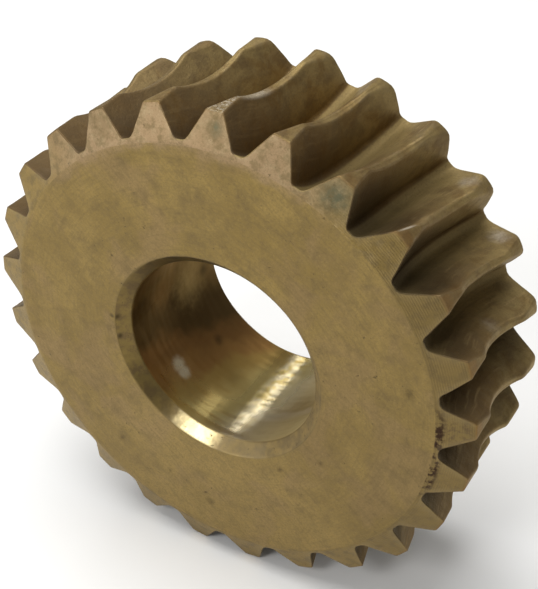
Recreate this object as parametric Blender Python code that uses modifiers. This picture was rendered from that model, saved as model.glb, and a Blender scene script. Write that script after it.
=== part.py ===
"""A throated worm wheel: one piece of bronze, turned and bored, with its teeth cut by a hob.

Metres. The wheel turns about the Y axis and its front face looks towards -Y. The origin is the
middle of the bore, halfway between the faces. Angles run in the XZ plane, from +X towards +Z.
"""

import math

import bmesh
import bpy
import numpy as np

MM = 0.001

# The gear pair: a worm with two starts and this wheel, both right-handed. The hob that cuts the
# wheel has the worm's shape, and stands above the wheel with its axis crossing the wheel's.
MODULE = 4.0 * MM
TEETH = 25
STARTS = 2
WORM_QUOTIENT = 14.0  # the worm's pitch diameter, in modules
PRESSURE_ANGLE = math.radians(20.0)
THREAD_THINNING = 0.35 * MM  # leaves the wheel's teeth wider than half a pitch
HOB_REACH = 1.15 * MODULE  # from the worm's pitch line to the bottom of the cut
PITCH_RADIUS = TEETH * MODULE / 2
WORM_RADIUS = WORM_QUOTIENT * MODULE / 2
CENTRE_DISTANCE = PITCH_RADIUS + WORM_RADIUS
HOB_RADIUS = WORM_RADIUS + HOB_REACH
TOOTH_PITCH = math.tau / TEETH

# The turned blank.
FACE_WIDTH = 38.0 * MM
LAND_RADIUS = 57.6 * MM  # the plain rings at both ends of the teeth
THROAT_RADIUS = 22.5 * MM  # the hollow round the rim, struck from the hob's axis
CREASE_RADIUS = 50.2 * MM  # where the flat face ends and the bevel across the teeth begins
BEVEL_DEPTH = 2.7 * MM
BORE_RADIUS = 22.5 * MM
CHAMFER = 2.6 * MM

# The middle of one tooth, halfway between the faces. At this angle the front ends of two teeth
# straddle the lowest point, and the back end of one is over it, so the wheel stands on three.
FIRST_TOOTH = math.radians(0.8)

# How finely the surfaces are divided.
TURNED_STEPS = 3 * TEETH
THROAT_POINTS = 7
CUT_STATIONS = 11
FLANK_POINTS = 6
THREAD_POINTS = 40
CREST_POINTS = 10
ROLL_STEPS = 121
OVERRUN = 1.0 * MM  # how far a cutter stands out of the blank

BRONZE = (0.42, 0.30, 0.13, 1.0)


def clear_scene():
    for existing in list(bpy.data.objects):
        bpy.data.objects.remove(existing, do_unlink=True)


def new_collection(name):
    collection = bpy.data.collections.new(name)
    bpy.context.scene.collection.children.link(collection)
    return collection


def bronze():
    material = bpy.data.materials.new("bronze")
    material.use_nodes = True
    shader = material.node_tree.nodes["Principled BSDF"]
    shader.inputs["Base Color"].default_value = BRONZE
    shader.inputs["Metallic"].default_value = 1.0
    shader.inputs["Roughness"].default_value = 0.45
    return material


def rim_radius(axial):
    """The blank's outer radius between the bevels: a throat struck from the hob's axis, and two lands."""
    if abs(axial) >= THROAT_RADIUS:
        return LAND_RADIUS
    return min(LAND_RADIUS, CENTRE_DISTANCE - math.sqrt(THROAT_RADIUS**2 - axial**2))


def blank_profile():
    """(radius, axial) points round half of the blank's section, down its outer side from the front."""
    face = FACE_WIDTH / 2
    throat_edge = math.sqrt(THROAT_RADIUS**2 - (CENTRE_DISTANCE - LAND_RADIUS) ** 2)
    rim = [(rim_radius(axial), axial) for axial in np.linspace(throat_edge, -throat_edge, THROAT_POINTS)]
    outside = [(CREASE_RADIUS, face), (LAND_RADIUS, face - BEVEL_DEPTH)]
    outside += rim
    outside += [(LAND_RADIUS, BEVEL_DEPTH - face), (CREASE_RADIUS, -face)]
    mouth = BORE_RADIUS + CHAMFER
    bore = [(mouth, -face), (BORE_RADIUS, CHAMFER - face), (BORE_RADIUS, face - CHAMFER), (mouth, face)]
    return outside + bore


def turned_blank(collection):
    points = [(radius, 0.0, axial) for radius, axial in blank_profile()]
    count = len(points)
    mesh = bpy.data.meshes.new("worm_wheel")
    mesh.from_pydata(points, [(i, (i + 1) % count) for i in range(count)], [])
    wheel = bpy.data.objects.new("worm_wheel", mesh)
    collection.objects.link(wheel)
    wheel.rotation_euler = (math.pi / 2, 0.0, 0.0)
    lathe = wheel.modifiers.new("lathe", "SCREW")
    lathe.axis = "Z"
    lathe.steps = TURNED_STEPS
    lathe.render_steps = TURNED_STEPS
    lathe.use_merge_vertices = True
    lathe.merge_threshold = 0.00001
    lathe.use_smooth_shade = True
    return wheel


def thread_flank(axial, side):
    """One flank of the hob's thread and half of its crest, cut by the plane at this axial place.

    Returns how far each point is along the wheel's tangent, and how high above the wheel's axis.
    """
    tip = math.sqrt(HOB_RADIUS**2 - axial**2)
    highest = CENTRE_DISTANCE - LAND_RADIUS - 2 * OVERRUN
    below_axis = np.linspace(tip, highest, THREAD_POINTS)
    radius = np.hypot(below_axis, axial)
    half_width = math.pi * MODULE / 4 - THREAD_THINNING / 2
    half_width = half_width - (radius - WORM_RADIUS) * math.tan(PRESSURE_ANGLE)
    lead = -STARTS * MODULE / 2 * np.arcsin(axial / radius)
    flank = lead + side * half_width
    crest = np.linspace(lead[0], flank[0], CREST_POINTS, endpoint=False)
    along = np.concatenate([crest, flank])
    above = CENTRE_DISTANCE - np.concatenate([np.full(CREST_POINTS, tip), below_axis])
    return along, above


def flank_angles(axial, side, radii):
    """The furthest angle that this flank of the thread reaches at each radius, as it rolls past."""
    along, above = thread_flank(axial, side)
    reach = np.full(len(radii), -np.inf)
    for roll in np.linspace(-3.0, 3.0, ROLL_STEPS) * MODULE:
        angle = side * (np.arctan2(along + roll, above) - roll / PITCH_RADIUS)
        radius = np.hypot(along + roll, above)
        order = np.argsort(radius)
        here = np.interp(radii, radius[order], angle[order], left=-np.inf, right=-np.inf)
        reach = np.maximum(reach, here)
    return side * reach


def space_section(axial):
    """(radius, angle) points round one tooth space at this axial place: down one flank and up the other."""
    root = CENTRE_DISTANCE - math.sqrt(HOB_RADIUS**2 - axial**2)
    top = rim_radius(axial) + OVERRUN
    radii = np.linspace(top, root + 0.02 * MM, FLANK_POINTS)
    left = flank_angles(axial, -1, radii)
    right = flank_angles(axial, 1, radii)
    return list(zip(radii, left)) + list(zip(radii, right))[::-1]


def space_cutters(collection):
    """One closed body for each tooth space, lofted through sections across the face."""
    half = FACE_WIDTH / 2 + OVERRUN
    stations = np.linspace(-half, half, CUT_STATIONS)
    sections = [(axial, space_section(axial)) for axial in stations]
    solid = bmesh.new()
    for tooth in range(TEETH):
        middle = FIRST_TOOTH + (tooth + 0.5) * TOOTH_PITCH
        rings = []
        for axial, section in sections:
            ring = []
            for radius, angle in section:
                turn = middle + angle
                ring.append(solid.verts.new((radius * math.cos(turn), axial, radius * math.sin(turn))))
            rings.append(ring)
        for near, far in zip(rings, rings[1:]):
            for i in range(len(near)):
                j = (i + 1) % len(near)
                solid.faces.new((near[i], near[j], far[j], far[i]))
        solid.faces.new(rings[0])
        solid.faces.new(rings[-1])
    bmesh.ops.recalc_face_normals(solid, faces=solid.faces)
    mesh = bpy.data.meshes.new("tooth_spaces")
    solid.to_mesh(mesh)
    solid.free()
    cutters = bpy.data.objects.new("tooth_spaces", mesh)
    cutters.hide_render = True
    cutters.display_type = "WIRE"
    collection.objects.link(cutters)
    return cutters


def main():
    clear_scene()
    parts = new_collection("worm_wheel")
    tools = new_collection("cutters")
    wheel = turned_blank(parts)
    wheel.data.materials.append(bronze())
    hobbing = wheel.modifiers.new("hobbing", "BOOLEAN")
    hobbing.operation = "DIFFERENCE"
    hobbing.solver = "EXACT"
    hobbing.object = space_cutters(tools)


main()
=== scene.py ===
"""The looks of a bronze worm wheel: a fine mesh with rounded, handled edges, and bronze in five finishes.

Metres, in the frame of the CAD. The wheel turns about the Y axis and its front face looks towards -Y.
Angles run in the XZ plane, from +X towards +Z.
"""

import math

import bpy
import numpy as np
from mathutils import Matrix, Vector, noise

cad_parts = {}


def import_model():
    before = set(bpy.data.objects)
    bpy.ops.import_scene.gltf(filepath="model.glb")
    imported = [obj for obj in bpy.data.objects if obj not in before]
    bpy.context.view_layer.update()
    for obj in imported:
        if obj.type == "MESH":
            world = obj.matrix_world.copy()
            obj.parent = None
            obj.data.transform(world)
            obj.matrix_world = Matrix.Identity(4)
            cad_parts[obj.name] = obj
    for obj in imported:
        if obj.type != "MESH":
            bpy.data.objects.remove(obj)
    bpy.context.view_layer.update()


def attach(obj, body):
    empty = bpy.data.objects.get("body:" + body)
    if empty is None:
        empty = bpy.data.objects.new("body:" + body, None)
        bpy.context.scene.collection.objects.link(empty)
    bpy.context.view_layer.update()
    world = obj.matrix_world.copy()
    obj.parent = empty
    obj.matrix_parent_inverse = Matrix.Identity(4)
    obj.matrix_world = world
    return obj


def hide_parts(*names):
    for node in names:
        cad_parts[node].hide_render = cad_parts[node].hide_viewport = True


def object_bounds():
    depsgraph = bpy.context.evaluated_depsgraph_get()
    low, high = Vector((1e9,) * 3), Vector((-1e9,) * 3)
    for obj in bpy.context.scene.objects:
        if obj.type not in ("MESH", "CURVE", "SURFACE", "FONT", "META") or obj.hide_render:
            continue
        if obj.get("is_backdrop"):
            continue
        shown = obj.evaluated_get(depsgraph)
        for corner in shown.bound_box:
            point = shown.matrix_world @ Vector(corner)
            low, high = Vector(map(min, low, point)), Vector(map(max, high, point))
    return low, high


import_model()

MM = 0.001

# The gear pair, as it is cut: a hob with two right-hand threads, crossing above the wheel.
MODULE = 4.0 * MM
TEETH = 25
STARTS = 2
WORM_QUOTIENT = 14.0
PRESSURE_ANGLE = math.radians(20.0)
THREAD_THINNING = 0.35 * MM
HOB_REACH = 1.15 * MODULE
PITCH_RADIUS = TEETH * MODULE / 2
WORM_RADIUS = WORM_QUOTIENT * MODULE / 2
CENTRE_DISTANCE = PITCH_RADIUS + WORM_RADIUS
HOB_RADIUS = WORM_RADIUS + HOB_REACH
TOOTH_PITCH = math.tau / TEETH
FIRST_TOOTH = math.radians(0.8)

# The turned blank.
FACE_WIDTH = 38.0 * MM
LAND_RADIUS = 57.6 * MM
THROAT_RADIUS = 22.5 * MM
CREASE_RADIUS = 50.2 * MM
BEVEL_DEPTH = 2.7 * MM
BORE_RADIUS = 22.5 * MM
CHAMFER = 2.6 * MM

# Rounded edges. Where a size goes by the side of the tooth, -1 is the flank at the lower angle.
TIP_ROUND = 0.35 * MM
WORN_TIP_ROUND = {-1: 1.5 * MM, 1: 1.0 * MM}  # on the back ends of the teeth, which are more worn
WORN_FROM = 0.72  # where that wear begins, as a share of the way from front to back
ROOT_ROUND = {-1: 0.7 * MM, 1: 2.4 * MM}  # up the flank: the one that leads has the softer foot
FLOOR_ROUND = 0.8 * MM  # the most that a root's floor gives up to the foot's rounding
FOOT_LIFT = 0.03 * MM  # above the root, where the foot's sharp corner is read
END_ROUND = 0.22 * MM
UNEVENNESS = 0.5  # of the rounding of the ends
MOST_UNEVEN = 1.2  # times the plain size
FRONT_SEED, BACK_SEED = 1.0, 5.0  # of the unevenness
MOUTH_ROUND = 0.35 * MM
CREASE_ROUND = 0.8 * MM

# How finely the surfaces are divided.
FLANK_POINTS = 12
FILLET_POINTS = 2
TIP_POINTS = 5
MIDDLE_STATIONS = 36
END_STEPS = 3
TABLE_STATIONS = 81
FIRST_MIDDLE = 1.0 * MM  # from the end to the first of the middle stations
TABLE_RADII = 40
TABLE_START = 0.02 * MM  # above the root
TABLE_PAST = 1.0 * MM  # beyond the rim
THREAD_POINTS = 60
CREST_POINTS = 12
ROLL_STEPS = 181
ROLL_REACH = 3.0 * MODULE  # to both sides, past the last touch of thread and tooth
SETTLE_STEPS = 30
TIP_CROWDING = 0.9  # under 1 moves the flank's points towards the tip
FACE_RINGS = 9
FACE_MARGIN = 2.0 * MM  # between the flat face's rings and the crease's
MOUTH_MARGIN = 1.0 * MM  # between the flat face's rings and the bore's mouth
BORE_RINGS = 13
ROW_DROP = 0.015 * MM  # keeps each row of a tooth's end under the one nearer the crest
ROUND_STEPS = (0.0, 0.25, 0.5, 0.75, 1.0)  # round a turned edge
CHAMFER_STEPS = (0.3, 0.5, 0.7)  # down the chamfer
FLAT_WEIGHT = 80  # how much the large flat faces steer the shading of the rounded edges beside them

# Places in one pitch of the outline, which starts in the middle of a root.
ROOT_EDGE = 2
FIRST_TIP = ROOT_EDGE + 1 + FILLET_POINTS + FLANK_POINTS + FILLET_POINTS
OUTLINE_POINTS = 2 * FIRST_TIP + TIP_POINTS - 1


# ---------------------------------------------------------------- the teeth's form


def rim_radius(axial):
    """The blank's outer radius: a throat struck from the hob's axis, between two lands."""
    inside = np.minimum(np.abs(axial), THROAT_RADIUS)
    return np.minimum(LAND_RADIUS, CENTRE_DISTANCE - np.sqrt(THROAT_RADIUS**2 - inside**2))


def root_radius(axial):
    return CENTRE_DISTANCE - np.sqrt(HOB_RADIUS**2 - axial**2)


def cone_axial(radius):
    """Where the front of the wheel is at this radius: the flat face, then the bevel across the teeth."""
    rise = np.clip((radius - CREASE_RADIUS) / (LAND_RADIUS - CREASE_RADIUS), 0.0, 1.0)
    return BEVEL_DEPTH * rise - FACE_WIDTH / 2


def thread_flank(axial, side):
    """One flank of the hob's thread and half of its crest, cut by the plane at this axial place."""
    tip = math.sqrt(HOB_RADIUS**2 - axial**2)
    highest = CENTRE_DISTANCE - LAND_RADIUS - 2 * TABLE_PAST
    below_axis = np.linspace(tip, highest, THREAD_POINTS)
    radius = np.hypot(below_axis, axial)
    half_width = math.pi * MODULE / 4 - THREAD_THINNING / 2
    half_width = half_width - (radius - WORM_RADIUS) * math.tan(PRESSURE_ANGLE)
    lead = -STARTS * MODULE / 2 * np.arcsin(axial / radius)
    flank = lead + side * half_width
    crest = np.linspace(lead[0], flank[0], CREST_POINTS, endpoint=False)
    along = np.concatenate([crest, flank])
    above = CENTRE_DISTANCE - np.concatenate([np.full(CREST_POINTS, tip), below_axis])
    return along, above


def flank_angles(axial, side, radii):
    """The furthest angle that this flank of the thread reaches at each radius, as it rolls past."""
    along, above = thread_flank(axial, side)
    reach = np.full(len(radii), -np.inf)
    for roll in np.linspace(-ROLL_REACH, ROLL_REACH, ROLL_STEPS):
        angle = side * (np.arctan2(along + roll, above) - roll / PITCH_RADIUS)
        radius = np.hypot(along + roll, above)
        order = np.argsort(radius)
        here = np.interp(radii, radius[order], angle[order], left=-np.inf, right=-np.inf)
        reach = np.maximum(reach, here)
    return side * reach


def table_ends(axial):
    """The radii where a flank table begins and ends at this axial place."""
    return root_radius(axial) + TABLE_START, rim_radius(axial) + TABLE_PAST


def flank_tables():
    """For both sides of a tooth space, its angle over the face's width and from root to rim."""
    stations = np.linspace(-FACE_WIDTH / 2, FACE_WIDTH / 2, TABLE_STATIONS)
    tables = {}
    for side in (-1, 1):
        rows = []
        for axial in stations:
            low, high = table_ends(axial)
            rows.append(flank_angles(axial, side, np.linspace(low, high, TABLE_RADII)))
        tables[side] = np.array(rows)
    return tables


def space_angle(table, axial, radius):
    """Reads a flank table between its entries."""
    low, high = table_ends(axial)
    across = (axial / FACE_WIDTH + 0.5) * (TABLE_STATIONS - 1)
    up = (radius - low) / (high - low) * (TABLE_RADII - 1)
    across = np.clip(across, 0, TABLE_STATIONS - 1.001)
    up = np.clip(up, 0, TABLE_RADII - 1.001)
    i = across.astype(int)
    j = up.astype(int)
    a = across - i
    b = up - j
    near = table[i, j] * (1 - b) + table[i, j + 1] * b
    far = table[i + 1, j] * (1 - b) + table[i + 1, j + 1] * b
    return near * (1 - a) + far * a


def station_axial(radius, station):
    """The axial place of a section's points: the front's shape at station 0, its mirror image at 1."""
    return cone_axial(radius) * (1 - 2 * station)


def settle(surface, station):
    """The radius where a turned surface meets the section at this station, closed in on step by step.

    A section follows the shape of the wheel's end, which it takes up in full at station 0 and 1.
    """
    radius = np.full_like(station, LAND_RADIUS)
    for _ in range(SETTLE_STEPS):
        radius = surface(station_axial(radius, station))
    return radius


def curve_through(start, corner, end, count):
    """Points strictly inside a round corner."""
    points = []
    for t in (np.arange(count) + 1.0) / (count + 1.0):
        points.append((1 - t) ** 2 * start + 2 * t * (1 - t) * corner + t**2 * end)
    return points


def half_outline(tables, side, station):
    """(radius, angle) rows from the middle of a root up to one edge of the tip, for every station at once.

    side is -1 for the flank at the lower angle, which belongs to the space before the tooth.
    """
    space = -side
    middle = side * TOOTH_PITCH / 2
    root = settle(root_radius, station)
    tip = settle(rim_radius, station)

    def flank(radius):
        axial = station_axial(radius, station)
        return np.stack([radius, middle + space_angle(tables[space], axial, radius)])

    wear = np.clip((station - WORN_FROM) / (1 - WORN_FROM), 0, 1) ** 2
    worn = TIP_ROUND + (WORN_TIP_ROUND[side] - TIP_ROUND) * wear
    foot = flank(root + FOOT_LIFT)
    foot[0] = root
    foot_round = ROOT_ROUND[side]
    root_edge = np.stack([root, foot[1] + side * min(foot_round, FLOOR_ROUND) / root])
    lowest = root + foot_round
    highest = tip - worn
    shares = (0.5 - 0.5 * np.cos(np.linspace(0, math.pi, FLANK_POINTS))) ** TIP_CROWDING
    flank_rows = [flank(lowest + (highest - lowest) * share) for share in shares]
    corner = flank(tip)
    tip_edge = np.stack([tip, corner[1] - side * worn / tip])
    foot_axial = station_axial(root, station)
    lead = (space_angle(tables[-1], foot_axial, root) + space_angle(tables[1], foot_axial, root)) / 2
    rows = [np.stack([root, middle + lead])]
    rows.append((rows[0] + root_edge) / 2)
    rows.append(root_edge)
    rows += curve_through(root_edge, foot, flank_rows[0], FILLET_POINTS)
    rows += flank_rows
    rows += curve_through(flank_rows[-1], corner, tip_edge, FILLET_POINTS)
    rows.append(tip_edge)
    return rows


def station_places():
    """Stations across the face: close together at the rounded ends."""
    usable = FACE_WIDTH - 2 * BEVEL_DEPTH
    turn = np.linspace(0, math.pi / 2, END_STEPS + 1)
    near = END_ROUND * (1 - np.cos(turn)) / usable
    first = FIRST_MIDDLE / usable
    return np.concatenate([near, np.linspace(first, 1 - first, MIDDLE_STATIONS), 1 - near[::-1]])


def end_insets():
    """How far each station is drawn in, as a share of the end's rounding."""
    turn = np.linspace(0, math.pi / 2, END_STEPS + 1)
    near = 1 - np.sin(turn)
    return np.concatenate([near, np.zeros(MIDDLE_STATIONS), near[::-1]])


def outline_grid(tables):
    """radius and angle of one pitch, indexed [outline point, station]."""
    station = station_places()
    left = half_outline(tables, -1, station)
    right = half_outline(tables, 1, station)
    tip = []
    for t in np.linspace(0, 1, TIP_POINTS)[1:-1]:
        tip.append(left[-1] * (1 - t) + right[-1] * t)
    rows = left + tip + right[::-1][:-1]
    return np.array(rows)[:, 0], np.array(rows)[:, 1]


def outline_masks():
    """1 for each outline point on the tip, on the root's floor, on an edge and on the leading flank."""
    place = np.arange(OUTLINE_POINTS)
    from_root = np.minimum(place, OUTLINE_POINTS - place)
    tip = (from_root >= FIRST_TIP) * 1.0
    floor = (from_root <= ROOT_EDGE) * 1.0
    edge = ((from_root >= FIRST_TIP - FILLET_POINTS) & (from_root <= FIRST_TIP)) * 1.0
    leading = (place > OUTLINE_POINTS / 2) * 1.0
    return tip, floor, edge, leading


# ---------------------------------------------------------------- the mesh


MASKS = ("tip", "floor", "edge", "height", "leading")
ZONE_TEETH, ZONE_ENDS, ZONE_FACE, ZONE_CHAMFER, ZONE_BORE = range(5)


class Shell:
    """Vertices with their masks, and faces with their zones, gathered into one closed mesh."""

    def __init__(self):
        self.places = []
        self.masks = []
        self.faces = []
        self.zones = []

    def add(self, places, masks):
        """Adds points (..., 3) with a row of masks each, and returns their numbers in the same layout."""
        places = np.asarray(places, float)
        first = sum(len(block) for block in self.places)
        self.places.append(places.reshape(-1, 3))
        masks = np.broadcast_to(masks, places.shape[:-1] + (len(MASKS),))
        self.masks.append(masks.reshape(-1, len(MASKS)))
        return first + np.arange(places[..., 0].size).reshape(places.shape[:-1])

    def quads(self, a, b, c, d, zone):
        block = np.stack([np.ravel(a), np.ravel(b), np.ravel(c), np.ravel(d)], axis=1)
        self.faces.append(block)
        self.zones.append(np.full(len(block), zone))

    def ring_quads(self, near, far, zone):
        """Faces between two closed rings of the same length."""
        self.quads(near, np.roll(near, -1), np.roll(far, -1), far, zone)

    def build(self, name, materials):
        mesh = bpy.data.meshes.new(name)
        places = np.concatenate(self.places)
        faces = np.concatenate(self.faces)
        mesh.from_pydata(places.tolist(), [], faces.tolist())
        for material in materials:
            mesh.materials.append(material)
        mesh.polygons.foreach_set("material_index", np.concatenate(self.zones).astype(np.int32))
        masks = np.concatenate(self.masks)
        for column, attribute in enumerate(MASKS):
            layer = mesh.attributes.new(attribute, "FLOAT", "POINT")
            layer.data.foreach_set("value", masks[:, column].astype(np.float32))
        mesh.polygons.foreach_set("use_smooth", np.ones(len(faces), bool))
        mesh.validate()
        mesh.update()
        wheel = bpy.data.objects.new(name, mesh)
        bpy.context.scene.collection.objects.link(wheel)
        return wheel


def polar(radius, angle, axial):
    """Points from their radius, angle and axial place."""
    axial = np.broadcast_to(axial, np.shape(radius))
    return np.stack([radius * np.cos(angle), axial, radius * np.sin(angle)], -1)


def inset_rows(radius, angle):
    """The direction out of the metal in the section, as (along the tangent, along the radius)."""
    x = radius * angle
    before_x = np.roll(x, 1, axis=0)
    after_x = np.roll(x, -1, axis=0)
    before_x[0] -= radius[0] * TOOTH_PITCH
    after_x[-1] += radius[-1] * TOOTH_PITCH
    dx = after_x - before_x
    dr = np.roll(radius, -1, axis=0) - np.roll(radius, 1, axis=0)
    length = np.hypot(dx, dr)
    return -dr / length, dx / length


def handled(tooth, seed):
    """Uneven rounding round one tooth's end, as a share of the plain size for each outline point."""
    places = [Vector((tooth * 3.7 + seed, i * 0.2, seed * 1.3)) for i in range(OUTLINE_POINTS)]
    bumps = np.array([noise.noise(place) for place in places])
    return np.minimum(1.0 + UNEVENNESS * bumps, MOST_UNEVEN)


def tooth_walls(shell, tables):
    """Adds the hobbed surfaces. Returns the numbers of their vertices, indexed [tooth, point, station]."""
    radius, angle = outline_grid(tables)
    across, outward = inset_rows(radius, angle)
    station = station_places()
    inset = end_insets() * END_ROUND
    tip, floor, edge, leading = outline_masks()
    root = radius[0]
    crest = radius[FIRST_TIP]
    height = (radius - root) / (crest - root)
    ends = end_insets() > 0
    masks = np.stack([
        np.broadcast_to(tip[:, None], radius.shape),
        np.broadcast_to(floor[:, None], radius.shape),
        np.maximum(edge[:, None], 1.0 * ends[None, :]),
        height,
        np.broadcast_to(leading[:, None], radius.shape),
    ], -1)
    numbers = []
    for tooth in range(TEETH):
        front = handled(tooth, FRONT_SEED)[:, None]
        back = handled(tooth, BACK_SEED)[:, None]
        draw = inset[None, :] * np.where(station[None, :] < 0.5, front, back)
        r = radius - outward * draw
        a = angle - across * draw / radius
        axial = station_axial(r, station[None, :])
        middle = FIRST_TOOTH + tooth * TOOTH_PITCH
        numbers.append(shell.add(polar(r, a + middle, axial), masks))
    numbers = np.array(numbers)
    around = np.concatenate([numbers, np.roll(numbers[:, :1], -1, axis=0)], axis=1)
    shell.quads(around[:, :-1, :-1], around[:, :-1, 1:], around[:, 1:, 1:], around[:, 1:, :-1], ZONE_TEETH)
    return numbers


def end_cap(shell, walls, station):
    """Closes the teeth's ends at station 0, in front, or -1, behind. Returns the ring at their roots."""
    places = np.concatenate(shell.places)
    back = station == -1
    across = TIP_POINTS - 2
    share = (np.arange(across) + 1.0) / (across + 1.0)
    ring = []
    for tooth in range(TEETH):
        edge = walls[tooth, :, station]
        rows = []
        crest = np.hypot(*places[edge[FIRST_TIP:FIRST_TIP + TIP_POINTS]][:, ::2].T)
        dip = crest[1:-1] - crest[0] - (crest[-1] - crest[0]) * share
        for i in range(ROOT_EDGE, FIRST_TIP):
            left = edge[i]
            right = edge[OUTLINE_POINTS - i]
            a, b = places[left], places[right]
            ra, rb = math.hypot(a[0], a[2]), math.hypot(b[0], b[2])
            ta = math.atan2(a[2], a[0])
            tb = ta + (math.atan2(b[2], b[0]) - ta + math.pi) % math.tau - math.pi
            height = (i - ROOT_EDGE) / (FIRST_TIP - ROOT_EDGE)
            r = ra + (rb - ra) * share + dip * height
            r = np.minimum(r, crest[1:-1] - ROW_DROP * (FIRST_TIP - i))
            t = ta + (tb - ta) * share
            axial = -cone_axial(r) if back else cone_axial(r)
            fresh = shell.add(polar(r, t, axial), (0, 0, 0, height, 0))
            rows.append(np.concatenate([[left], fresh, [right]]))
        rows.append(edge[FIRST_TIP:FIRST_TIP + TIP_POINTS])
        rows = np.array(rows)
        low, high = rows[:-1], rows[1:]
        if back:
            shell.quads(low[:, :-1], low[:, 1:], high[:, 1:], high[:, :-1], ZONE_ENDS)
        else:
            shell.quads(low[:, :-1], high[:, :-1], high[:, 1:], low[:, 1:], ZONE_ENDS)
        ring.append(np.concatenate([edge[:ROOT_EDGE], rows[0], edge[OUTLINE_POINTS - ROOT_EDGE + 1:]]))
    return np.concatenate(ring)


def rounded(corner, zone, next_zone, wear=1.0):
    """Rings round an edge between two zones, most worn in the middle.

    corner holds (radius, axial) before, on and after the sharp edge.
    """
    start, middle, end = np.array(corner)
    rings = []
    for t in ROUND_STEPS:
        radius, axial = (1 - t) ** 2 * start + 2 * t * (1 - t) * middle + t**2 * end
        rings.append((radius, axial, zone if t <= 0.5 else next_zone, wear * (1.0 - abs(2 * t - 1))))
    return rings


def turned_rings():
    """Rings from the roots over the face into the bore.

    Each is (radius, axial place, zone of the strip before it, edge mask).
    """
    front = -FACE_WIDTH / 2
    mouth = BORE_RADIUS + CHAMFER
    outside = CREASE_RADIUS + CREASE_ROUND / 2
    inside = CREASE_RADIUS - CREASE_ROUND
    crease = [(outside, cone_axial(outside)), (CREASE_RADIUS, front), (inside, front)]
    rings = rounded(crease, ZONE_ENDS, ZONE_FACE, 0.0)
    for radius in np.linspace(CREASE_RADIUS - FACE_MARGIN, mouth + MOUTH_MARGIN, FACE_RINGS):
        rings.append((radius, front, ZONE_FACE, 0.0))
    diagonal = MOUTH_ROUND / math.sqrt(2)
    outer = [(mouth + MOUTH_ROUND, front), (mouth, front), (mouth - diagonal, front + diagonal)]
    rings += rounded(outer, ZONE_FACE, ZONE_CHAMFER)
    for t in CHAMFER_STEPS:
        rings.append((mouth - CHAMFER * t, front + CHAMFER * t, ZONE_CHAMFER, 0.0))
    throat = front + CHAMFER
    before = (BORE_RADIUS + diagonal, throat - diagonal)
    inner = [before, (BORE_RADIUS, throat), (BORE_RADIUS, throat + MOUTH_ROUND)]
    rings += rounded(inner, ZONE_CHAMFER, ZONE_BORE)
    return rings


def turned_surfaces(shell, front_ring, back_ring):
    """Face, chamfer and bore, from the front's root ring round to the back's."""
    places = np.concatenate(shell.places)
    front_angle = np.arctan2(places[front_ring][:, 2], places[front_ring][:, 0])
    back_angle = np.arctan2(places[back_ring][:, 2], places[back_ring][:, 0])
    twist = (back_angle - front_angle + math.pi) % math.tau - math.pi
    half = turned_rings()
    profile = [(r, y, zone, edge, 0.0) for r, y, zone, edge in half]
    reach = FACE_WIDTH / 2 - CHAMFER - MOUTH_ROUND
    for axial in np.linspace(-reach, reach, BORE_RINGS + 2)[1:-1]:
        share = (axial + reach) / (2 * reach)
        profile.append((BORE_RADIUS, axial, ZONE_BORE, 0.0, share))
    zones = [zone for _, _, zone, _ in half][1:] + [half[-1][2]]
    for (r, y, _, edge), zone in zip(half[::-1], zones[::-1]):
        profile.append((r, -y, zone, edge, 1.0))
    last = front_ring
    for r, y, zone, edge, share in profile:
        angle = front_angle + twist * share
        ring = shell.add(polar(np.full_like(angle, r), angle, y), (0, 0, edge, 0, 0))
        shell.ring_quads(last, ring, zone)
        last = ring
    shell.ring_quads(last, back_ring, ZONE_ENDS)


def wheel_shell():
    shell = Shell()
    walls = tooth_walls(shell, flank_tables())
    front_ring = end_cap(shell, walls, 0)
    back_ring = end_cap(shell, walls, -1)
    turned_surfaces(shell, front_ring, back_ring)
    return shell


# ---------------------------------------------------------------- bronze

# Lengths in the materials are millimetres, and colours are linear. A place on the wheel is written as
# (degrees, radius, axial).
FRONT = -FACE_WIDTH / 2 / MM
BEVEL = -17.2  # the axial place of about the middle of a tooth's front end
BORE = BORE_RADIUS / MM
MIX_A, MIX_B, MIX_COLOUR = 6, 7, 2  # the colour sockets of a Mix node: two going in, one coming out
SPECULAR_LEVEL = 0.12


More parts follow.
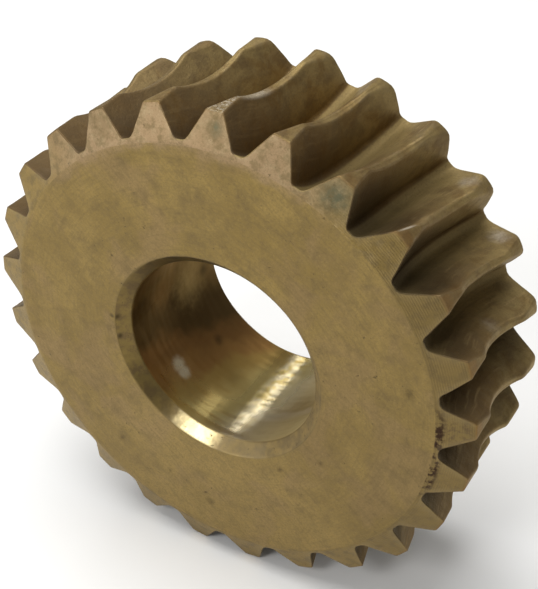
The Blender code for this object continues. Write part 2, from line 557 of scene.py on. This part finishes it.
class Bronze:
    """A bronze material, short ways to add its nodes, and the colour as it stands so far."""

    def __init__(self, name):
        self.material = bpy.data.materials.new(name)
        self.material.use_nodes = True
        self.tree = self.material.node_tree
        self.shader = self.tree.nodes["Principled BSDF"]
        place = self.tree.nodes.new("ShaderNodeTexCoord").outputs["Object"]
        self.place = self.vector("SCALE", place, scale=1 / MM)
        self.x, self.axial, self.z = self.split(self.place)
        self.radius = self.math("SQRT", self.total(self.times(self.x, self.x), self.times(self.z, self.z)))
        self.angle = self.math("ARCTAN2", self.z, self.x)
        unit = self.math("DIVIDE", 1.0, self.radius)
        self.cosine = self.times(self.x, unit)
        self.sine = self.times(self.z, unit)
        self.colour = None

    def feed(self, socket, value):
        if isinstance(value, bpy.types.NodeSocket):
            self.tree.links.new(value, socket)
        else:
            socket.default_value = value

    def math(self, operation, a, b=0.0, c=0.0):
        """A Math node. Its values, like all the values here, are numbers or the sockets of other nodes."""
        node = self.tree.nodes.new("ShaderNodeMath")
        node.operation = operation
        for socket, value in zip(node.inputs, (a, b, c)):
            self.feed(socket, value)
        return node.outputs[0]

    def times(self, a, b):
        return self.math("MULTIPLY", a, b)

    def most(self, a, b):
        return self.math("MAXIMUM", a, b)

    def scaled(self, value, scale, offset):
        """value times scale plus offset."""
        return self.math("MULTIPLY_ADD", value, scale, offset)

    def total(self, *values):
        result = values[0]
        for value in values[1:]:
            result = self.math("ADD", result, value)
        return result

    def vector(self, operation, a, b=None, scale=None):
        node = self.tree.nodes.new("ShaderNodeVectorMath")
        node.operation = operation
        self.feed(node.inputs[0], a)
        if b is not None:
            self.feed(node.inputs[1], b)
        if scale is not None:
            self.feed(node.inputs["Scale"], scale)
        return node.outputs["Value" if operation == "DISTANCE" else "Vector"]

    def split(self, vector):
        node = self.tree.nodes.new("ShaderNodeSeparateXYZ")
        self.feed(node.inputs[0], vector)
        return node.outputs

    def join(self, x, y, z=0.0):
        node = self.tree.nodes.new("ShaderNodeCombineXYZ")
        for socket, value in zip(node.inputs, (x, y, z)):
            self.feed(socket, value)
        return node.outputs[0]

    def noise(self, scale, detail=2.0, where=None, roughness=0.5, distortion=0.0):
        node = self.tree.nodes.new("ShaderNodeTexNoise")
        self.feed(node.inputs["Vector"], where or self.place)
        node.inputs["Scale"].default_value = scale
        node.inputs["Detail"].default_value = detail
        node.inputs["Roughness"].default_value = roughness
        node.inputs["Distortion"].default_value = distortion
        return node.outputs["Fac"]

    def mask(self, name):
        node = self.tree.nodes.new("ShaderNodeAttribute")
        node.attribute_name = name
        return node.outputs["Fac"]

    def rise(self, value, low, high, top=1.0):
        """0 below low, top above high, smooth between. low may be above high."""
        node = self.tree.nodes.new("ShaderNodeMapRange")
        node.interpolation_type = "SMOOTHSTEP"
        self.feed(node.inputs["Value"], value)
        node.inputs["From Min"].default_value = low
        node.inputs["From Max"].default_value = high
        node.inputs["To Max"].default_value = top
        return node.outputs["Result"]

    def patches(self, scale, low, high, top=1.0, detail=4.0, roughness=0.65, distortion=0.0):
        """Noise turned into patches with soft edges."""
        return self.rise(self.noise(scale, detail, None, roughness, distortion), low, high, top)

    def uneven(self, value, scale, reach, detail=2.0):
        """A length or a share, with noise added so that what depends on it has no even edge."""
        return self.scaled(self.noise(scale, detail), reach, value)

    def facing(self, x, z):
        """How much a point lies on the (x, z) side of the axis: from 1 straight that way to -1 opposite."""
        return self.scaled(self.sine, z, self.times(self.cosine, x))

    def spot(self, place, size, softness=0.5, rough_edge=0.0):
        """1 inside a ball round this place, 0 outside it."""
        degrees, radius, axial = place
        turn = math.radians(degrees)
        centre = (radius * math.cos(turn), axial, radius * math.sin(turn))
        reach = self.vector("DISTANCE", self.place, centre)
        if rough_edge:
            reach = self.uneven(reach, 0.8, rough_edge, 3.0)
            size += rough_edge / 2
        return self.rise(reach, size, size * (1 - softness))

    def specks(self, scale, rarity, crowd_scale, crowd):
        """Small uneven dark pits that gather in some places."""
        dots = self.patches(scale, rarity, rarity + 0.08, detail=3.0, roughness=0.7)
        return self.times(dots, self.patches(crowd_scale, crowd, crowd + 0.15, detail=2.0, roughness=0.5))

    def mix(self, share, a, b):
        node = self.tree.nodes.new("ShaderNodeMix")
        node.data_type = "RGBA"
        self.feed(node.inputs["Factor"], share)
        self.feed(node.inputs[MIX_A], a)
        self.feed(node.inputs[MIX_B], b)
        return node.outputs[MIX_COLOUR]

    def coat(self, shade, share, strength=None):
        """Covers the colour so far with this shade, by this share."""
        if strength is not None:
            share = self.times(share, strength)
        self.colour = self.mix(share, self.colour, shade)

    def finish(self, roughness, relief, metallic=1.0):
        """Joins everything to the shader. relief is in millimetres."""
        bump = self.tree.nodes.new("ShaderNodeBump")
        bump.inputs["Distance"].default_value = MM
        self.feed(bump.inputs["Height"], relief)
        self.shader.inputs["Specular IOR Level"].default_value = SPECULAR_LEVEL
        self.feed(self.shader.inputs["Base Color"], self.colour)
        self.feed(self.shader.inputs["Roughness"], roughness)
        self.feed(self.shader.inputs["Normal"], bump.outputs["Normal"])
        self.feed(self.shader.inputs["Metallic"], metallic)
        return self.material


OLIVE = (0.235, 0.162, 0.053, 1.0)
GOLD = (0.290, 0.202, 0.068, 1.0)
DULL = (0.155, 0.112, 0.050, 1.0)
ROSY = (0.260, 0.175, 0.085, 1.0)
# dark specks and pits, and also painted shade between the teeth
SPECK_AND_SHADE = (0.045, 0.032, 0.016, 1.0)
PINK = (0.340, 0.235, 0.145, 1.0)
GREEN = (0.125, 0.125, 0.075, 1.0)
BROWN = (0.185, 0.120, 0.050, 1.0)
DARK_BROWN = (0.115, 0.078, 0.041, 1.0)
RED_BROWN = (0.150, 0.086, 0.028, 1.0)
# gold of the root floors, also used as painted light on the floors, feet and back of the flanks
FLOOR_GOLD = (0.300, 0.222, 0.090, 1.0)
PALE = (0.420, 0.330, 0.190, 1.0)
PALE_GOLD = (0.400, 0.290, 0.120, 1.0)
TAN = (0.370, 0.265, 0.120, 1.0)
GRIME = (0.036, 0.018, 0.011, 1.0)
RUST = (0.220, 0.125, 0.043, 1.0)
# worn metal, and also the colour of painted sheen and highlights
WEAR_AND_SHEEN = (0.560, 0.500, 0.400, 1.0)
# bare metal, and also the painted highlight along the bottom of the bore
BARE_AND_HIGHLIGHT = (0.600, 0.530, 0.370, 1.0)
# the gold of the painted highlight on the chamfer
PAINTED_GLINT = (0.680, 0.560, 0.300, 1.0)
TARNISHED = (0.185, 0.130, 0.044, 1.0)
BROWN_SHEEN = (0.90, 0.80, 0.62, 1.0)  # tints what the metal reflects at a low angle

# Marks on the front face: degrees, radius, size, softness, roughness of the edge.
FACE_MARKS = (
    (-93, 41.7, 1.5, 0.9, 1.5),
    (-56, 28.4, 1.1, 0.9, 1.0),
    (-34, 30.7, 1.1, 0.9, 1.6),
    (143, 30.7, 0.55, 0.6, 0.5),
    (12, 45.2, 2.2, 0.9, 2.5),
    (175, 25.9, 0.9, 0.6, 1.2),
    (-128, 41.9, 1.5, 0.9, 1.5),
    (-109, 39.4, 0.9, 0.9, 1.5),
)

# The bore's colour round the wall, as shares of a turn from its left: dark brown at first, then red-brown,
# pale at the bottom (bare metal, painted paler as highlight under the window's streak), and gold on the
# right and the top.
BORE_SHADES = (
    (0.00, (0.160, 0.102, 0.038)),
    (0.03, (0.090, 0.056, 0.022)),
    (0.075, (0.088, 0.054, 0.021)),
    (0.11, (0.185, 0.098, 0.034)),
    (0.15, (0.270, 0.150, 0.050)),
    (0.18, (0.320, 0.212, 0.066)),
    (0.245, (0.440, 0.340, 0.130)),
    (0.30, (0.570, 0.480, 0.290)),
    (0.42, (0.480, 0.400, 0.210)),
    (0.55, (0.330, 0.235, 0.095)),
    (0.94, (0.300, 0.195, 0.080)),
    (1.00, (0.170, 0.108, 0.040)),
)
BORE_START = 0.455  # of a turn: puts the first shade at the left


MARKED_RADIUS = 50.0  # where the pieces of the turning marks have their stated length


def turning_marks(b, feed, length):
    """Fine rings left by the turning tool, uneven in depth and broken along their length, from 0 to 1.

    feed is from one ring to the next, and length is that of the pieces near the crease.
    """
    along = b.join(b.times(b.radius, 1 / feed), b.times(b.angle, MARKED_RADIUS / length), b.axial)
    return b.noise(1.0, 3.0, along, 0.65)


def tool_lines(b, pitch):
    """Evenly spaced rings, as a coarse feed leaves them, from 0 to 1."""
    wander = b.times(b.noise(0.35, 2.0), 0.5 * pitch)
    wave = b.math("SINE", b.times(b.math("ADD", b.radius, wander), math.tau / pitch))
    return b.scaled(wave, 0.5, 0.5)


def brushing(b):
    """Fine straight scratches that run down to the right across the face, from 0 to 1."""
    across = b.scaled(b.x, 1.25, b.times(b.z, 1.35))
    along = b.scaled(b.x, 0.09, b.times(b.z, -0.083))
    return b.noise(1.0, 4.0, b.join(across, along), 0.65)


def upper_left(b):
    """1 round the upper left of the wheel, 0 elsewhere."""
    return b.rise(b.facing(-0.174, 0.985), 0.68, 0.93)


def face_bronze():
    b = Bronze("bronze_face")
    mottle = b.noise(0.22, 6.0, roughness=0.7)
    grain = b.noise(2.6, 4.0, roughness=0.75)
    rings = turning_marks(b, 0.55, 9.0)
    b.colour = b.mix(b.patches(0.05, 0.38, 0.62, roughness=0.6), OLIVE, GOLD)
    b.coat(ROSY, b.patches(0.09, 0.46, 0.64, 0.55, detail=3.0, roughness=0.5, distortion=0.5))
    b.coat(DULL, b.rise(mottle, 0.47, 0.72, 0.65))
    b.coat(DULL, b.times(b.spot((96, 36.0, FRONT), 11.0, 0.8, 8.0), b.rise(mottle, 0.34, 0.62)), 0.5)
    b.coat(DULL, b.rise(rings, 0.44, 0.70, 0.36))
    b.coat(PALE_GOLD, b.rise(b.sine, -0.45, -1.0, 0.22))
    b.coat(DULL, b.rise(b.cosine, 0.35, 1.0, 0.16))
    rim = b.rise(b.uneven(b.radius, 0.25, 6.0, 3.0), 50.5, 53.5, 0.6)
    b.coat(PINK, b.times(rim, upper_left(b)))
    b.coat(DULL, b.rise(grain, 0.44, 0.70, 0.60))
    b.coat(DULL, b.patches(0.9, 0.44, 0.68, 0.22, detail=5.0, roughness=0.8))
    b.coat(PALE_GOLD, b.patches(1.9, 0.50, 0.72, 0.25, roughness=0.8))
    b.coat(DULL, b.rise(brushing(b), 0.46, 0.70, 0.34))
    dark = b.times(b.specks(0.8, 0.64, 0.08, 0.42), 0.6)
    for degrees, radius, size, softness, rough_edge in FACE_MARKS:
        mark = b.spot((degrees, radius, FRONT), size, softness, rough_edge)
        dark = b.most(dark, b.times(mark, 0.65))
    b.coat(SPECK_AND_SHADE, dark)
    b.coat(DULL, b.mask("edge"), 0.4)
    relief = b.total(b.times(rings, 0.025), b.times(grain, 0.030), b.times(dark, -0.05))
    relief = b.total(relief, b.times(mottle, 0.12))
    return b.finish(b.scaled(mottle, 0.20, 0.38), relief)


def end_bronze():
    b = Bronze("bronze_ends")
    mottle = b.noise(0.35, 5.0, roughness=0.65)
    grain = b.noise(2.6, 4.0, roughness=0.75)
    climb = b.mask("height")
    b.colour = b.mix(b.rise(mottle, 0.3, 0.7), OLIVE, GOLD)
    # Partly painted reflection: pinker round the upper left of the ends, where the lamps above are
    # reflected.
    b.coat(PINK, upper_left(b), 0.72)
    duller = b.most(b.spot((89, 54.5, BEVEL), 5.0, 0.6, 3.0), b.spot((118, 54.5, BEVEL), 5.0, 0.6, 3.0))
    b.coat(DULL, duller, 0.40)
    green = b.most(b.spot((61, 54.2, BEVEL), 5.2, 0.7, 4.0), b.spot((89, 54.5, BEVEL), 2.4, 0.8, 3.0))
    b.coat(GREEN, green, 0.95)
    b.coat(WEAR_AND_SHEEN, b.spot((141, 54.8, -16.6), 3.2, 0.8, 2.0), 0.9)
    b.coat(DULL, b.patches(0.5, 0.45, 0.64, 0.62, roughness=0.7))
    # Painted light: paler patches over the top of the ends.
    bright = b.patches(0.4, 0.45, 0.75, detail=5.0, roughness=0.75)
    b.coat(PALE, b.times(bright, b.rise(b.sine, 0.5, 0.95)), 0.45)
    b.coat(DULL, b.rise(b.cosine, 0.55, 0.9, 0.45))
    b.coat(DULL, b.rise(grain, 0.46, 0.72, 0.45))
    pits = b.specks(1.2, 0.64, 0.2, 0.44)
    b.coat(SPECK_AND_SHADE, pits, 0.6)

    # Tool lines, clearest at the right.
    lines = b.times(tool_lines(b, 0.45), b.times(b.rise(b.cosine, 0.3, 0.8), b.rise(mottle, 0.3, 0.6)))
    b.coat(DARK_BROWN, lines, 0.32)

    # Rusty towards the crest, in places on the left and all over on the right.
    some = b.times(b.rise(climb, 0.75, 1.0), b.patches(0.6, 0.4, 0.6, detail=2.0, roughness=0.5))
    right = b.times(b.rise(climb, 0.72, 1.0), b.rise(b.cosine, 0.35, 0.7))
    b.coat(RUST, b.most(some, right), 0.45)
    stain = b.times(b.spot((3, 54.0, BEVEL), 5.0, 0.5, 4.0), b.patches(0.9, 0.44, 0.60, roughness=0.7))
    b.coat(DARK_BROWN, stain, 0.6)

    # A crust of grime at the foot of the teeth, on the right of the front.
    crust = b.times(b.rise(b.radius, 52.3, 51.2), b.patches(0.6, 0.43, 0.58, roughness=0.6))
    crust = b.times(crust, b.rise(b.axial, 5.0, -5.0))
    b.coat(GRIME, b.times(crust, b.rise(b.facing(0.99, -0.08), 0.955, 0.985)), 0.95)
    b.coat(PALE, b.mask("edge"), 0.12)
    relief = b.total(b.times(lines, 0.03), b.times(grain, 0.04), b.times(mottle, 0.12))
    relief = b.total(relief, b.times(pits, -0.03))
    return b.finish(b.scaled(mottle, 0.2, 0.38), relief, 0.95)


def tooth_bronze():
    b = Bronze("bronze_teeth")
    tip, floor_mask, edge = b.mask("tip"), b.mask("floor"), b.mask("edge")
    climb, leading = b.mask("height"), b.mask("leading")
    mottle = b.noise(0.25, 4.0, roughness=0.6)
    grain = b.noise(2.3, 4.0, roughness=0.75)

    # Brown flanks, darker at the foot and at the front as painted shade, and more golden towards the back
    # as painted light.
    open_end = b.rise(b.scaled(mottle, 12.0, b.axial), -8.0, 18.0)
    b.colour = b.mix(b.most(b.rise(climb, -0.05, 0.85), open_end), DARK_BROWN, BROWN)
    behind = b.rise(b.scaled(mottle, 16.0, b.axial), -2.0, 18.0)
    b.coat(FLOOR_GOLD, b.times(behind, b.rise(climb, -0.2, 0.45)), 0.75)
    b.coat(RED_BROWN, b.patches(0.16, 0.45, 0.64, 0.6, distortion=0.6))
    b.coat(DARK_BROWN, b.rise(mottle, 0.42, 0.66, 0.5))

    # Streaks along the cut, clearest on the leading flank.
    lengthwise = b.join(b.times(climb, 12.0), b.times(b.axial, 0.09), b.times(b.angle, 4.0))
    streaks = b.noise(1.0, 4.0, lengthwise, 0.6)
    shown = b.patches(0.13, 0.40, 0.60, 0.7, detail=2.0, roughness=0.5)
    side = b.scaled(leading, 0.75, 0.25)
    b.coat(TAN, b.times(b.times(b.rise(streaks, 0.48, 0.68), shown), side))

    # Painted light on the floors and feet where the light falls, patches on the tips, and rust on the
    # right-hand lands.
    foot = b.times(leading, b.rise(b.scaled(mottle, 0.5, climb), 1.0, 0.35))
    # Painted light: paler gold on the floors and leading feet of the upper teeth.
    lit_floors_and_feet = b.times(b.most(floor_mask, foot), b.rise(b.sine, 0.05, 0.50))
    b.coat(FLOOR_GOLD, lit_floors_and_feet, 0.75)
    b.coat(FLOOR_GOLD, b.times(tip, b.patches(0.35, 0.35, 0.62)), 0.45)
    front_land = b.times(tip, b.rise(b.axial, -13.0, -14.5))
    b.coat(RUST, b.times(front_land, b.rise(b.cosine, 0.40, 0.62)), 0.65)

    # The top tooth's crest is scratched and rubbed pale, partly wear and partly painted sheen, and three
    # flanks on the right carry painted highlights.
    crest = b.most(b.spot((89.9, 57.6, -12.5), 5.5, 0.4, 3.0), b.spot((87.4, 56.0, -3.0), 3.5, 0.7, 3.0))
    scratched = b.times(b.times(tip, crest), b.patches(1.6, 0.40, 0.62, detail=3.0, roughness=0.7))
    b.coat(WEAR_AND_SHEEN, scratched, 0.6)
    # Painted sheen with some wear: paler along the top crest.
    b.coat(WEAR_AND_SHEEN, b.times(b.spot((87.4, 56.0, -5.0), 6.5, 0.8, 4.0), b.rise(climb, 0.93, 1.0)), 0.5)
    # Painted highlights on three flanks at the right.
    painted_highlights = b.most(b.spot((42.7, 54.5, 13.5), 3.6, 0.9, 3.0), b.spot((29.3, 54.0, 14.5), 3.6, 0.9, 3.0))
    painted_highlights = b.most(painted_highlights, b.times(b.spot((16.8, 54.0, 1.3), 3.0, 0.9, 4.0), 0.5))
    b.coat(WEAR_AND_SHEEN, painted_highlights, 0.75)
    b.coat(DARK_BROWN, b.rise(grain, 0.46, 0.74, 0.50))
    b.coat(GREEN, b.spot((57.5, 56.0, -15.5), 3.2, 0.8, 3.0), 0.5)
    b.coat(PALE, b.times(edge, b.patches(0.5, 0.40, 0.65, detail=3.0, roughness=0.5)), 0.12)

    # Darker low on the wheel towards the roots, painted shade deep between the teeth at the right, and
    # darker teeth at the left.
    low = b.rise(b.scaled(mottle, 0.6, climb), 1.35, 0.45)
    b.coat(SPECK_AND_SHADE, b.times(b.rise(b.sine, 0.42, -0.05), low), 0.78)
    # Painted shade: darker over the front of the spaces between the teeth at the upper right.
    in_front = b.times(b.rise(b.scaled(mottle, 14.0, b.axial), 16.0, -5.0), b.rise(b.cosine, 0.30, 0.70))
    painted_shade = b.times(b.times(in_front, b.rise(climb, 1.05, 0.70)), b.rise(b.sine, 0.05, 0.60))
    b.coat(SPECK_AND_SHADE, painted_shade, 0.75)
    b.coat(DARK_BROWN, b.rise(b.cosine, -0.22, -0.50, 0.45))

    # A pale corner at the left and a pale burr on one crest at the right, partly wear and partly painted
    # edge highlight.
    burr_and_highlight = b.times(b.spot((48.4, 57.3, -13.0), 3.6, 0.6, 2.0), b.rise(climb, 0.90, 1.0))
    burr_and_highlight = b.times(burr_and_highlight, b.math("SUBTRACT", 1.0, tip))
    b.coat(WEAR_AND_SHEEN, b.most(b.spot((140.5, 54.8, -15.8), 3.4, 0.8, 2.0), burr_and_highlight), 0.8)

    relief = b.total(b.times(b.times(streaks, side), 0.12), b.times(grain, 0.06), b.times(mottle, 0.25))
    relief = b.total(relief, b.times(scratched, 0.08))
    b.shader.inputs["Specular Tint"].default_value = BROWN_SHEEN
    return b.finish(b.scaled(mottle, 0.2, 0.40), relief, b.scaled(lit_floors_and_feet, -0.35, 0.6))


def bore_tarnish(b):
    """BORE_SHADES round the wall, wandering, and turning a little from front to back."""
    wander = b.scaled(b.noise(0.09, 3.0, roughness=0.6), 0.09, b.times(b.axial, -0.0030))
    turn = b.math("ADD", b.scaled(b.angle, 1 / math.tau, BORE_START), wander)
    node = b.tree.nodes.new("ShaderNodeValToRGB")
    b.feed(node.inputs[0], b.math("FRACT", turn))
    node.color_ramp.interpolation = "EASE"
    elements = node.color_ramp.elements
    for position, _ in BORE_SHADES[1:-1]:
        elements.new(position)
    for element, (_, shade) in zip(elements, BORE_SHADES):
        element.color = shade + (1.0,)
    return node.outputs["Color"]


def bore_bronze():
    b = Bronze("bronze_bore")
    b.colour = bore_tarnish(b)
    reddish = b.most(b.spot((177, BORE, -5.0), 7.0, 0.9, 4.0), b.spot((-134, BORE, -15.0), 4.0, 0.9, 3.0))
    b.coat(RUST, reddish, 0.8)
    b.coat(PALE_GOLD, b.spot((-174, BORE, 6.0), 9.0, 0.95, 5.0), 0.9)
    stains = b.most(b.spot((-131, BORE, 6.1), 1.9, 0.8, 1.5), b.spot((-172, BORE, 12.0), 2.4, 0.8, 2.0))
    b.coat(SPECK_AND_SHADE, stains, 0.6)
    patch = b.most(b.spot((-132.5, BORE, -8.2), 2.4, 0.6, 1.2), b.spot((-137.5, BORE, -8.0), 2.6, 0.6, 1.2))
    b.coat(BARE_AND_HIGHLIGHT, patch, 0.7)
    b.coat(SPECK_AND_SHADE, b.specks(0.7, 0.66, 0.2, 0.45), 0.35)

    # Pale smears, a pale streak at the bottom that is painted highlight along the window's reflection, and
    # a bare streak up the right-hand side.
    smear = b.patches(0.16, 0.52, 0.66, roughness=0.5, distortion=1.2)
    b.coat(PALE, b.times(smear, b.rise(b.cosine, 0.0, 0.5)), 0.50)
    broken = b.patches(0.45, 0.38, 0.58, detail=2.0, roughness=0.5)
    # Painted highlight: paler along the bottom of the bore, where the window is reflected as a streak.
    b.coat(BARE_AND_HIGHLIGHT, b.times(b.rise(b.facing(0.105, -0.995), 0.988, 0.999), broken), 0.6)
    wave = b.math("ABSOLUTE", b.uneven(b.math("ADD", b.axial, 2.8), 0.16, 8.0, 3.0))
    b.coat(BARE_AND_HIGHLIGHT, b.times(b.rise(wave, 2.4, 0.2), b.rise(b.cosine, 0.02, 0.35)), 0.85)
    bare = b.times(b.rise(b.cosine, 0.25, 0.6), b.rise(b.sine, 0.0, -0.3))
    b.coat(PALE_GOLD, bare, 0.3)

    # Duller where it is bare, behind at the left, in front, and along the edges of the mouths.
    roughness = b.scaled(b.noise(0.25, 3.0), 0.14, 0.17)
    roughness = b.scaled(bare, 0.25, roughness)
    left_behind = b.times(b.rise(b.cosine, -0.08, -0.28), b.rise(b.uneven(b.axial, 0.2, 8.0), -6.0, 6.0))
    roughness = b.scaled(left_behind, 0.30, roughness)
    scuffed = b.times(b.rise(b.uneven(b.axial, 0.25, 8.0), 2.0, -9.0), b.rise(b.cosine, 0.05, 0.35))
    scuffed = b.most(scuffed, b.rise(b.cosine, -0.70, -0.95, 0.6))
    mouth = b.rise(b.uneven(b.axial, 0.25, 5.0), -11.0, -15.0)
    roughness = b.scaled(b.most(scuffed, mouth), 0.30, roughness)
    edge = b.mask("edge")
    b.coat(GOLD, edge, 0.5)
    roughness = b.scaled(edge, 0.35, roughness)

    # Rings from boring, and flat places between them.
    rings = b.noise(1.0, 4.0, b.join(b.times(b.axial, 0.8), b.times(b.angle, 3.0)), 0.6)
    flats = b.noise(1.0, 0.0, b.join(b.times(b.axial, 0.6), b.times(b.angle, 3.5)))
    relief = b.total(b.times(rings, 0.018), b.times(flats, 0.13), b.times(b.noise(2.5, 3.0), 0.005))
    b.shader.inputs["Specular Tint"].default_value = BROWN_SHEEN
    return b.finish(roughness, relief)


def chamfer_bronze():
    b = Bronze("bronze_chamfer")
    mottle = b.noise(0.35, 4.0, roughness=0.6)
    b.colour = b.mix(b.rise(mottle, 0.3, 0.7), GOLD, DULL)

    # Tarnished at the left, painted light and a painted highlight at the bottom, paler and duller at the
    # right.
    left = b.rise(b.cosine, -0.3, -0.9)
    b.coat(TARNISHED, left, 0.75)
    b.coat(DARK_BROWN, b.times(left, b.patches(0.4, 0.42, 0.62)), 0.65)
    # Painted light: paler along the bottom of the chamfer.
    b.coat(PALE, b.rise(b.uneven(b.sine, 0.5, -0.12, 3.0), -0.86, -0.97), 0.30)
    # Painted highlight: a gold glint low on the chamfer, where the front lamp is reflected.
    b.coat(PAINTED_GLINT, b.rise(b.uneven(b.facing(-0.259, -0.966), 0.5, -0.05, 3.0), 0.935, 0.972), 0.85)
    right = b.rise(b.cosine, 0.30, 0.75)
    b.coat(PALE, right, 0.25)

    pits = b.specks(0.9, 0.62, 0.2, 0.42)
    spots = b.most(b.spot((175, 24.9, -18.8), 1.3, 0.6, 1.4), b.spot((-173, 24.6, -18.5), 1.0, 0.6, 1.2))
    b.coat(SPECK_AND_SHADE, b.most(b.times(pits, 0.6), b.times(spots, 0.8)))
    edge = b.mask("edge")
    b.coat(DULL, edge, 0.3)
    roughness = b.scaled(right, 0.25, b.scaled(edge, 0.25, b.scaled(mottle, 0.16, 0.28)))
    return b.finish(roughness, b.total(b.times(mottle, 0.08), b.times(pits, -0.03)))


# ---------------------------------------------------------------- the studio

EYE = (117.33 * MM, -201.01 * MM, 174.31 * MM)
LOOKING_DOWN = 0.6283  # radians below level
LOOKING_LEFT = 0.5198  # radians from +Y
LENS = 81.24  # millimetres, as is the sensor
SENSOR = 36.0
NEAREST, FARTHEST = 0.01, 10.0
FLOOR_REACH = 3.0
FLOOR_WHITE = (0.86, 0.86, 0.85, 1.0)
FLOOR_ROUGHNESS = 0.7
SKY_WHITE = (1.0, 0.99, 0.97, 1.0)
SKY_STRENGTH = 0.35

# Lamps: name, place, aim, size, watts. The window is the narrow one that the bore reflects as a streak.
LAMPS = (
    ("top", (-0.30, 0.0, 1.10), (0.0, 0.0, 0.0), (1.0, 1.2), 14.0),
    ("window", (-0.56, 0.73, 0.61), (0.0, 0.73, 0.0), (0.4, 0.06), 0.48),
    ("sky", (0.06, 0.76, 0.92), (0.02, 0.76, 0.0), (0.4, 0.26), 0.3),
    ("front", (-0.10, -0.80, 0.70), (0.0, 0.0, 0.0), (0.25, 0.25), 3.0),
    ("side", (-0.75, -0.95, 0.18), (0.0, 0.0, 0.0), (0.8, 0.6), 3.5),
)


def add_to_scene(name, data):
    thing = bpy.data.objects.new(name, data)
    bpy.context.scene.collection.objects.link(thing)
    return thing


def camera():
    data = bpy.data.cameras.new("camera")
    data.lens = LENS
    data.sensor_width = SENSOR
    data.clip_start = NEAREST
    data.clip_end = FARTHEST
    eye = add_to_scene("camera", data)
    eye.location = EYE
    eye.rotation_euler = (math.pi / 2 - LOOKING_DOWN, 0.0, LOOKING_LEFT)
    bpy.context.scene.camera = eye


def lamp(name, place, aim, size, watts):
    data = bpy.data.lights.new(name, "AREA")
    data.shape = "RECTANGLE"
    data.size, data.size_y = size
    data.energy = watts
    light = add_to_scene(name, data)
    light.location = place
    light.rotation_euler = (Vector(aim) - Vector(place)).to_track_quat("-Z", "Y").to_euler()


def floor(height):
    mesh = bpy.data.meshes.new("floor")
    corners = [(x * FLOOR_REACH, y * FLOOR_REACH, height) for x, y in ((-1, -1), (1, -1), (1, 1), (-1, 1))]
    mesh.from_pydata(corners, [], [(0, 1, 2, 3)])
    plane = add_to_scene("floor", mesh)
    material = bpy.data.materials.new("floor")
    material.use_nodes = True
    shader = material.node_tree.nodes["Principled BSDF"]
    shader.inputs["Base Color"].default_value = FLOOR_WHITE
    shader.inputs["Roughness"].default_value = FLOOR_ROUGHNESS
    mesh.materials.append(material)
    plane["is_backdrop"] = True


def world():
    sky = bpy.data.worlds.new("studio")
    bpy.context.scene.world = sky
    sky.use_nodes = True
    background = sky.node_tree.nodes["Background"]
    background.inputs["Color"].default_value = SKY_WHITE
    background.inputs["Strength"].default_value = SKY_STRENGTH


# One bronze for each zone, in the order of the zones' numbers.
bronzes = [tooth_bronze(), end_bronze(), face_bronze(), chamfer_bronze(), bore_bronze()]
wheel = wheel_shell().build("worm_wheel_bronze", bronzes)
weighted = wheel.modifiers.new("weighted", "WEIGHTED_NORMAL")
weighted.weight = FLAT_WEIGHT
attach(wheel, "root")
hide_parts("worm_wheel")

floor(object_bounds()[0][2])
camera()
world()
for settings in LAMPS:
    lamp(*settings)
bpy.context.scene.view_settings.view_transform = "Standard"
